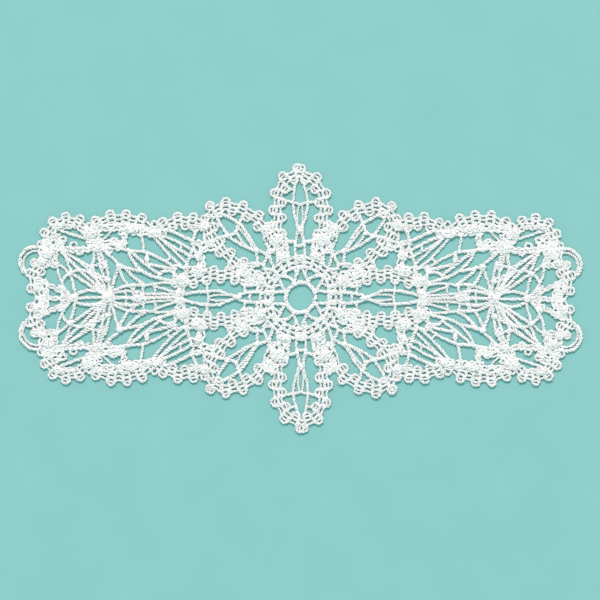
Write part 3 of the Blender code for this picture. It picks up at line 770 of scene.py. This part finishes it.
def lay_cord(pile, cord):
    """Lays a strand in all four quarters: one cord, two side by side, or a filling where it is wide."""
    count = strands_across(cord.width)
    each = cord.width / count
    step = turn_length(each) / SAMPLES_PER_TURN
    for path in copies(cord_line(cord, step)):
        if cord.width >= FILLING_WIDTH:
            lay_filling(pile, path, cord.width)
            continue
        side, run = left_of(path), walked(path)
        for k in range(count):
            shift = (k - (count - 1) / 2) * each
            if count > 1:
                shift = shift + SWAY * np.sin(2 * np.pi * run / SWAY_LENGTH + chance.uniform(0, 2 * np.pi))
            overlap = OVERLAP if count > 1 else 1.0
            twist(pile, path + side * np.reshape(shift, (-1, 1)), each * overlap)


def to_and_fro(passes, step_count):
    """How far along and how far across a thread is as it goes to and fro, each from -1 to 1."""
    share = np.arange(passes * step_count + 1) / step_count
    across = 2 * np.abs(share % 2 - 1) - 1
    return 2 * share / passes - 1, across


def lumpy_thread(pile, spots, level, radius):
    """Adds a thread that is uneven from stitch to stitch, between the floor and the height of the knots."""
    radius = radius * (1 + chance.uniform(-LUMPS, LUMPS, len(spots)))
    level = level + chance.uniform(-JUMPS, JUMPS, len(spots))
    level = np.clip(level, radius + FLOOR_CLEARANCE, KNOT_TOP + SATIN_RADIUS - radius)
    pile.thread(np.column_stack([spots, level]), radius)


def beside(path, side, run, along, off):
    """The points a distance off to the left of a path, at distances along it."""
    return spot_on(along, run, path) + off[:, None] * spot_on(along, run, side)


def lay_filling(pile, path, width):
    """Covers a wide strand with two crossing layers of thread, and lays wavy threads along it."""
    side, run = left_of(path), walked(path)
    for edge in (-1, 0, 1) if width > MIDDLE_THREAD_WIDTH else (-1, 1):
        at = run[-1] * np.linspace(0, 1, steps_in(run[-1], EDGE_STEP))
        wave = EDGE_WAVE * np.sin(2 * np.pi * at / EDGE_WAVE_LENGTH + chance.uniform(0, 2 * np.pi))
        off = edge * (width / 2 - EDGE_RADIUS) + wave + chance.uniform(-EDGE_WOBBLE, EDGE_WOBBLE, len(at))
        lumpy_thread(pile, beside(path, side, run, at, off), CORD_HEIGHT, EDGE_RADIUS)
    half = width / 2 - FILLING_RADIUS
    steps = steps_in(2 * half, LAYER_STEP)
    for slant in FILLING_SLANTS:
        along, across = to_and_fro(steps_in(run[-1], FILLING_PITCH), steps)
        across = across * (1 + chance.uniform(-REACH_SPREAD, REACH_SPREAD, len(across)))
        shift = slant * half * across
        along = (along + 1) / 2 * run[-1] + shift + chance.uniform(-PLACE_SPREAD, PLACE_SPREAD, len(across))
        along = np.clip(along, 0.0, run[-1])
        level = FILLING_LEVEL - FILLING_DIP * across ** 2
        lumpy_thread(pile, beside(path, side, run, along, half * across), level, FILLING_RADIUS)


def round_path(x, y, radius, step):
    """Points round a circle."""
    angles = round_angles(round(2 * np.pi * radius / step))
    return np.column_stack([x + radius * np.cos(angles), y + radius * np.sin(angles)])


def spine(braid, step):
    """Evenly spaced points along a braid's spine, the directions to its left, and the distance along it."""
    rough = np.array(smooth_path(braid.bends))
    rough_run = walked(rough)
    count = round(rough_run[-1] / step)
    run = rough_run[-1] * np.arange(count + 1) / count
    path = spot_on(run, rough_run, rough)
    for _ in range(round(ARC_STEP / 2 / step) ** 2):
        path[1:-1] = (path[:-2] + 2 * path[1:-1] + path[2:]) / 4
    return path, left_of(path), run


def rail_paths(braid, step):
    """The three rails of a braid. They swing towards each ring in turn."""
    path, side, run = spine(braid, step)
    swing = RAIL_WAVE * braid.first_side * np.cos(np.pi * (run - braid.first_ring) / braid.half_pitch)
    return [path + side * (rail + swing)[:, None] for rail in RAILS]


def rung_ends(braid):
    """The two ends of each rung of a braid."""
    path, side, run = spine(braid, FINE_TURN)
    ends = []
    due = (braid.first_ring / braid.half_pitch - 0.5) % 1.0 * braid.half_pitch
    while due < run[-1]:
        middle, across = spot_on(due, run, path), spot_on(due, run, side)
        ends.append((middle - across * RUNG_REACH, middle + across * RUNG_REACH))
        due += braid.half_pitch
    return ends


def ring_spots(braid):
    """The centres of a braid's rings, which take turns on its two sides."""
    path = np.array(smooth_path(braid.bends))
    left, run = left_of(path), walked(path)
    spots = []
    side, due = braid.first_side, braid.first_ring
    while due <= run[-1]:
        at = int(np.clip(np.searchsorted(run, due) - 1, 0, len(run) - 2))
        share = (due - run[at]) / (run[at + 1] - run[at])
        if side > 0 or braid.inner_rings:
            spots.append(path[at] + (path[at + 1] - path[at]) * share + left[at] * RING_OFFSET * side)
        side, due = -side, due + braid.half_pitch
    return spots


def lay_ring(pile, x, y, radius):
    """Lays a picot ring of that outer radius in all four quarters."""
    path = round_path(x, y, radius - RING_WIDTH / 2, FINE_TURN / SAMPLES_PER_TURN)
    for copy in copies(path):
        twist(pile, copy, RING_WIDTH, RING_HEIGHT, closed=True)


def lay_braid(rails, rungs, rings, braid):
    """Lays a braid in all four quarters."""
    step = FINE_TURN / SAMPLES_PER_TURN
    for line in rail_paths(braid, step):
        for path in copies(line):
            twist(rails, path, RAIL_WIDTH)
    for low, high in rung_ends(braid):
        for path in copies(from_to(low, high, round(2 * RUNG_REACH / step))):
            twist(rungs, path, RUNG_WIDTH)
    for x, y in ring_spots(braid):
        lay_ring(rings, x, y, RING_RADIUS)


def spoke_lines():
    """The short spokes between the rings of the medallion."""
    lines = []
    for near, far in zip(MEDALLION_RINGS, MEDALLION_RINGS[1:]):
        for k in range(SPOKES):
            angle = 2 * np.pi * (k + 0.5) / SPOKES
            out = np.array([np.cos(angle), np.sin(angle)])
            lines.append((out * near, out * far))
    return lines


def lay_medallion(pile):
    """Lays the round cords of the medallion and their spokes."""
    for radius, width in ROUND_CORDS:
        twist(pile, uneven(round_path(0, 0, radius, TURN / SAMPLES_PER_TURN)), width, closed=True)
    for near, far in spoke_lines():
        twist(pile, uneven(from_to(near, far, SPOKE_STEPS)), SPOKE_WIDTH)


def on_knot(points, knot):
    """Where points given along and across a knot lie in the even pattern."""
    lean = math.radians(knot.turn)
    x = knot.x + points[:, 0] * math.cos(lean) - points[:, 1] * math.sin(lean)
    y = knot.y + points[:, 0] * math.sin(lean) + points[:, 1] * math.cos(lean)
    return np.column_stack([x, y])


def over_oval(knot, lean, along, sweep):
    """Points on a thread that goes to and fro over a knot's oval at an angle, each line ending at the rim."""
    a, b = knot.half_length, knot.half_width
    run, off = np.array((math.cos(lean), math.sin(lean))), np.array((-math.sin(lean), math.cos(lean)))
    offset = along * math.hypot(a * off[0], b * off[1])
    square = (run[0] / a) ** 2 + (run[1] / b) ** 2
    middle = -offset * (off[0] * run[0] / a ** 2 + off[1] * run[1] / b ** 2) / square
    rest = (1 - offset ** 2 * ((off[0] / a) ** 2 + (off[1] / b) ** 2)) / square
    half = np.sqrt(np.maximum(middle ** 2 + rest, LEAST_SQUARE)) - SATIN_RADIUS
    reach = middle + sweep * half * (1 + chance.uniform(-SATIN_SPREAD, SATIN_SPREAD, len(sweep)))
    return reach[:, None] * run + offset[:, None] * off


def lay_knot(satin, padding, knot):
    """Lays a knot in each quarter: crossing layers of thread over a low oval dome."""
    rise = KNOT_TOP - KNOT_FOOT
    steps = steps_in(knot.half_length + knot.half_width, LAYER_STEP)
    for flips in quarters(not knot.x, not knot.y):
        for degrees in SATIN_LEANS:
            lean = math.radians(degrees + chance.uniform(-LEAN_SPREAD, LEAN_SPREAD))
            half_across = math.hypot(knot.half_length * math.sin(lean), knot.half_width * math.cos(lean))
            along, sweep = to_and_fro(steps_in(2 * half_across, SATIN_PITCH), steps)
            flat = over_oval(knot, lean, along * SATIN_SHARE, sweep)
            inner = ((flat / (knot.half_length, knot.half_width)) ** 2).sum(axis=1)
            level = KNOT_FOOT + SATIN_RISE * rise * np.maximum(1 - inner, 0.0) ** DOME_BLUNTNESS
            lumpy_thread(satin, uneven(on_knot(flat, knot) * flips), level, SATIN_RADIUS)
        lay_padding(padding, knot, flips, rise)


def lay_padding(pile, knot, flips, rise):
    """Lays the dome under a knot's satin thread: rows of points, a flat crown and a flat sole."""
    angles = round_angles(PADDING_SIDES) * flips[0] * flips[1]
    around = np.column_stack([np.cos(angles), np.sin(angles)])
    rows = []
    # The crown is flat, half a level below the place where the dome would close
    for level in range(PADDING_LEVELS):
        slope = level / (PADDING_LEVELS - 0.5) * np.pi / 2
        flat = around * (np.cos(slope) * PADDING_SHARE) * (knot.half_length, knot.half_width)
        height = np.full(PADDING_SIDES, KNOT_FOOT + rise * PADDING_RISE * np.sin(slope))
        rows.append(np.column_stack([uneven(on_knot(flat, knot) * flips), height]))
    row, turn = row_and_turn(np.arange(PADDING_LEVELS - 1), PADDING_SIDES)
    low, high, next_turn = row * PADDING_SIDES, (row + 1) * PADDING_SIDES, (turn + 1) % PADDING_SIDES
    quads = np.stack([low + turn, low + next_turn, high + next_turn, high + turn], axis=1)
    top = (PADDING_LEVELS - 1) * PADDING_SIDES
    fan = np.array([[0, k + 1, k + 2, k + 3] for k in range(0, PADDING_SIDES - 2, 2)]) % PADDING_SIDES
    quads = np.concatenate([quads, fan + top, fan[:, ::-1]])
    pile.add(np.concatenate(rows), quads, NO_CAPS, np.zeros((len(quads), 4, 2)))


def band(points, width):
    """The outline of a ground strand of even width with blunt round ends, counter-clockwise."""
    path = np.array(points)
    sides = left_of(path)
    left, right = path + sides * width / 2, path - sides * width / 2
    tips = []
    for point, side, turn in ((path[-1], sides[-1], 1), (path[0], sides[0], -1)):
        tip = point + np.array([side[1], -side[0]]) * turn * width * END_ROUND
        half_tip = side * turn * width * END_BREADTH
        tips += [tip - half_tip, tip + half_tip]
    return np.concatenate([right, tips[:2], left[::-1], tips[2:]])


def ring_bands(radius, width):
    """A round band about the centre, as four quarters."""
    steps = round(math.pi / 2 * radius / ARC_STEP)
    bands = []
    for quarter in range(4):
        angles = np.pi / 2 * (quarter + np.arange(steps + 1) / steps)
        around = np.column_stack([np.cos(angles), np.sin(angles)])
        bands.append(np.concatenate([around * (radius + width / 2), (around * (radius - width / 2))[::-1]]))
    return bands


def ground_outlines(cords):
    """Every outline of the ground, counter-clockwise."""
    once = []
    for radius, width in ROUND_CORDS:
        once += ring_bands(radius, width * GROUND_SHARE)
    once += [band(ends, SPOKE_WIDTH * GROUND_SHARE) for ends in spoke_lines()]
    quarter = []
    for cord in cords:
        if cord.width < FILLING_WIDTH:
            quarter.append(band(cord_line(cord, GROUND_STEP), cord.width * GROUND_SHARE))
        else:
            quarter.append(band([place_on(cord, share) for share in GROUND_STRETCH], GROUND_FILLING))
    for braid in BRAIDS:
        quarter += [band(path, GROUND_RAIL) for path in rail_paths(braid, RAIL_STEP)]
        quarter += [band(ends, GROUND_RUNG) for ends in rung_ends(braid)]
    angles = round_angles(OVAL_SIDES)
    for knot in KNOTS:
        oval = np.column_stack([knot.half_length * np.cos(angles), knot.half_width * np.sin(angles)])
        quarter.append(on_knot(oval * GROUND_KNOT, knot))
    outlines = [uneven(outline) for outline in once]
    for outline in quarter:
        for flips in quarters():
            copy = uneven(outline * flips)
            outlines.append(copy if flips[0] == flips[1] else copy[::-1])
    return outlines


def lay_ground(cords, material):
    """Makes the ground: one closed sheet under all the cords, open where they leave gaps."""
    points, faces = [], []
    for outline in ground_outlines(cords):
        faces.append(list(range(len(points), len(points) + len(outline))))
        points += [Vector(p) for p in outline]
    points, _, triangles, _, _, sources = delaunay_2d_cdt(points, [], faces, INSIDE_ONLY, SAME_POINT)
    kept = [t for t, s in zip(triangles, sources) if s]
    directed = {(t[i], t[(i + 1) % 3]) for t in kept for i in range(3)}
    rim = sorted((a, b) for a, b in directed if (b, a) not in directed)
    count = len(points)
    corners = [(p.x, p.y, level) for level in (GROUND_LOW, GROUND_HIGH) for p in points]
    corners = (np.array(corners) + (0, PATTERN_UP, 0)) * MM
    surface = [tuple(t[::-1]) for t in kept] + [tuple(i + count for i in t) for t in kept]
    surface += [(a, b, b + count, a + count) for a, b in rim]
    mesh = bpy.data.meshes.new("ground_sheet")
    mesh.from_pydata([tuple(c) for c in corners], [], surface)
    mesh.materials.append(material)
    return add_object("ground_sheet", mesh)


def link(tree, source, out, target, name):
    """Joins one node's output to another's input."""
    tree.links.new(source.outputs[out], target.inputs[name])


def new_material(name):
    """A material, its node tree and its shader."""
    material = bpy.data.materials.new(name)
    material.use_nodes = True
    return material, material.node_tree, material.node_tree.nodes["Principled BSDF"]


def noise(tree, coords, scale, detail):
    """A noise texture at a scale, on the object's own coordinates."""
    texture = tree.nodes.new("ShaderNodeTexNoise")
    texture.inputs["Scale"].default_value = scale
    texture.inputs["Detail"].default_value = detail
    link(tree, coords, "Object", texture, "Vector")
    return texture


def ramp(tree, texture, shade, light):
    """Colours from one shade to a lighter one by a texture's value."""
    shades = tree.nodes.new("ShaderNodeValToRGB")
    darker, lighter = shades.color_ramp.elements
    darker.position, darker.color = SHADE_AT, shade
    lighter.position, lighter.color = LIGHT_AT, light
    link(tree, texture, "Fac", shades, "Fac")
    return shades


def bump(tree, texture, strength, distance, below=None):
    """A bump from a texture, on top of another bump."""
    relief = tree.nodes.new("ShaderNodeBump")
    relief.inputs["Strength"].default_value = strength
    relief.inputs["Distance"].default_value = distance
    link(tree, texture, "Fac", relief, "Height")
    if below:
        link(tree, below, "Normal", relief, "Normal")
    return relief


def thread_material(name, light, roughness, sheen, ridges):
    """Spun white thread: fine fibres that run round and along it, a little cloudy in colour and in gloss."""
    material, tree, shader = new_material(name)
    shader.inputs["Sheen Weight"].default_value = sheen
    shader.inputs["Sheen Roughness"].default_value = SHEEN_ROUGHNESS
    shader.inputs["Specular IOR Level"].default_value = THREAD_SPECULAR
    coords = tree.nodes.new("ShaderNodeTexCoord")
    cloud = noise(tree, coords, THREAD_CLOUDS, detail=4.0)
    link(tree, ramp(tree, cloud, THREAD_SHADE, light), "Color", shader, "Base Color")
    strand = tree.nodes.new("ShaderNodeUVMap")
    strand.uv_map = "strand"
    stretched = tree.nodes.new("ShaderNodeMapping")
    stretched.inputs["Scale"].default_value = FIBRE_STRETCH
    link(tree, strand, "UV", stretched, "Vector")
    fibres = tree.nodes.new("ShaderNodeTexWave")
    fibres.bands_direction = "DIAGONAL"
    fibres.inputs["Scale"].default_value = ridges
    fibres.inputs["Distortion"].default_value = FIBRE_WANDER
    fibres.inputs["Detail"].default_value = FIBRE_DETAIL
    link(tree, stretched, "Vector", fibres, "Vector")
    fuzz = noise(tree, coords, THREAD_FUZZ, detail=2.0)
    lower = bump(tree, fibres, THREAD_RELIEF, FIBRE_DEPTH)
    relief = bump(tree, fuzz, THREAD_RELIEF, FUZZ_DEPTH, lower)
    link(tree, relief, "Normal", shader, "Normal")
    rough = tree.nodes.new("ShaderNodeMapRange")
    rough.inputs["To Min"].default_value = roughness - ROUGHNESS_SPREAD
    rough.inputs["To Max"].default_value = roughness + ROUGHNESS_SPREAD
    link(tree, fuzz, "Fac", rough, "Value")
    link(tree, rough, "Result", shader, "Roughness")
    return material


def ground_material():
    """The locked stitches under the cords: a fine white mesh of crossing threads."""
    material, tree, shader = new_material("underlay_thread")
    shader.inputs["Sheen Weight"].default_value = GROUND_SHEEN
    shader.inputs["Roughness"].default_value = GROUND_ROUGHNESS
    coords = tree.nodes.new("ShaderNodeTexCoord")
    cloud = noise(tree, coords, GROUND_CLOUDS, detail=3.0)
    link(tree, ramp(tree, cloud, GROUND_SHADE, GROUND_LIGHT), "Color", shader, "Base Color")
    below = None
    for direction in ("X", "Y"):
        wave = tree.nodes.new("ShaderNodeTexWave")
        wave.bands_direction = direction
        wave.inputs["Scale"].default_value = WEAVE_SCALE
        wave.inputs["Distortion"].default_value = WEAVE_WANDER
        link(tree, coords, "Object", wave, "Vector")
        below = bump(tree, wave, WEAVE_RELIEF, WEAVE_DEPTH, below)
    link(tree, below, "Normal", shader, "Normal")
    return material


def floor_material():
    """Pale blue-green card with a fine tooth."""
    material, tree, shader = new_material("pale_card")
    shader.inputs["Roughness"].default_value = CARD_ROUGHNESS
    shader.inputs["Specular IOR Level"].default_value = CARD_SPECULAR
    coords = tree.nodes.new("ShaderNodeTexCoord")
    cloud = noise(tree, coords, CARD_CLOUDS, detail=6.0)
    link(tree, ramp(tree, cloud, CARD_SHADE, CARD_LIGHT), "Color", shader, "Base Color")
    tooth = noise(tree, coords, CARD_TOOTH, detail=3.0)
    link(tree, bump(tree, tooth, CARD_RELIEF, CARD_DEPTH), "Normal", shader, "Normal")
    return material


def make_floor():
    """The plain floor that the lace lies on."""
    mesh = bpy.data.meshes.new("floor")
    corners = [(x * FLOOR_REACH, y * FLOOR_REACH, 0) for x, y in ((-1, -1), (1, -1), (1, 1), (-1, 1))]
    mesh.from_pydata(corners, [], [(0, 1, 2, 3)])
    mesh.materials.append(floor_material())
    return add_object("floor", mesh)


def make_lamp():
    """A soft square lamp, aimed at the lace."""
    data = bpy.data.lights.new("key_light", "AREA")
    data.color = LAMP_COLOUR
    data.shape = "SQUARE"
    data.size = LAMP_SIZE
    data.energy = LAMP_POWER
    lamp = add_object("key_light", data)
    lamp.location = LAMP_PLACE
    lamp.rotation_euler = Vector(LAMP_PLACE).to_track_quat("Z", "Y").to_euler()


def light_and_camera():
    """The lamp, a pale surround, and a camera straight above the lace."""
    make_lamp()
    world = bpy.data.worlds.new("studio")
    world.use_nodes = True
    surround = world.node_tree.nodes["Background"]
    surround.inputs["Color"].default_value = SURROUND_COLOUR
    surround.inputs["Strength"].default_value = SURROUND_STRENGTH
    bpy.context.scene.world = world
    bpy.context.scene.view_settings.view_transform = "Standard"
    lens = bpy.data.cameras.new("camera")
    lens.sensor_width = SENSOR
    lens.lens = SENSOR * CAMERA_HEIGHT / VIEW_WIDTH
    lens.clip_end = CAMERA_REACH
    camera = add_object("camera", lens)
    camera.location = (VIEW_X, VIEW_Y, CAMERA_HEIGHT)
    bpy.context.scene.camera = camera


def main():
    """Builds every piece, attaches each to the root body, hides the solid lace, and sets the floor, light and
    camera.
    """
    cords = {
        "petal_cords": MEDALLION + PETAL_FEET + TOP_PETAL + DIAGONAL_PETAL + SIDE_PETAL,
        "net_cords": NET_RIMS + NET_CORDS + NET_FOOT + NET_TIES,
        "end_cords": END_RIMS + tied_cords(FIRST_STAR) + tied_cords(SECOND_STAR),
        "filling_cords": FILLING,
    }
    corded = thread_material("corded_thread", CORDED_LIGHT, roughness=0.6, sheen=0.35, ridges=1.6)
    satin_thread = thread_material("satin_thread", SATIN_LIGHT, roughness=0.5, sheen=0.3, ridges=2.2)
    looks = dict.fromkeys([*cords, "braid_rails", "braid_rungs", "picot_rings"], corded)
    looks.update(satin_knots=satin_thread, knot_padding=satin_thread)
    piles = {name: Pile(name) for name in looks}
    for name, rows in cords.items():
        for cord in rows:
            lay_cord(piles[name], cord)
    lay_medallion(piles["petal_cords"])
    for braid in BRAIDS:
        lay_braid(piles["braid_rails"], piles["braid_rungs"], piles["picot_rings"], braid)
    for ring in RINGS + INNER_RINGS:
        lay_ring(piles["picot_rings"], ring.x, ring.y, ring.radius)
    for knot in KNOTS:
        lay_knot(piles["satin_knots"], piles["knot_padding"], knot)
    pieces = [pile.build(looks[name]) for name, pile in piles.items()]
    ground = lay_ground([cord for rows in cords.values() for cord in rows], ground_material())
    floor = make_floor()
    for piece in pieces + [ground]:
        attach(piece, "root")
    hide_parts("lace")
    light_and_camera()


main()
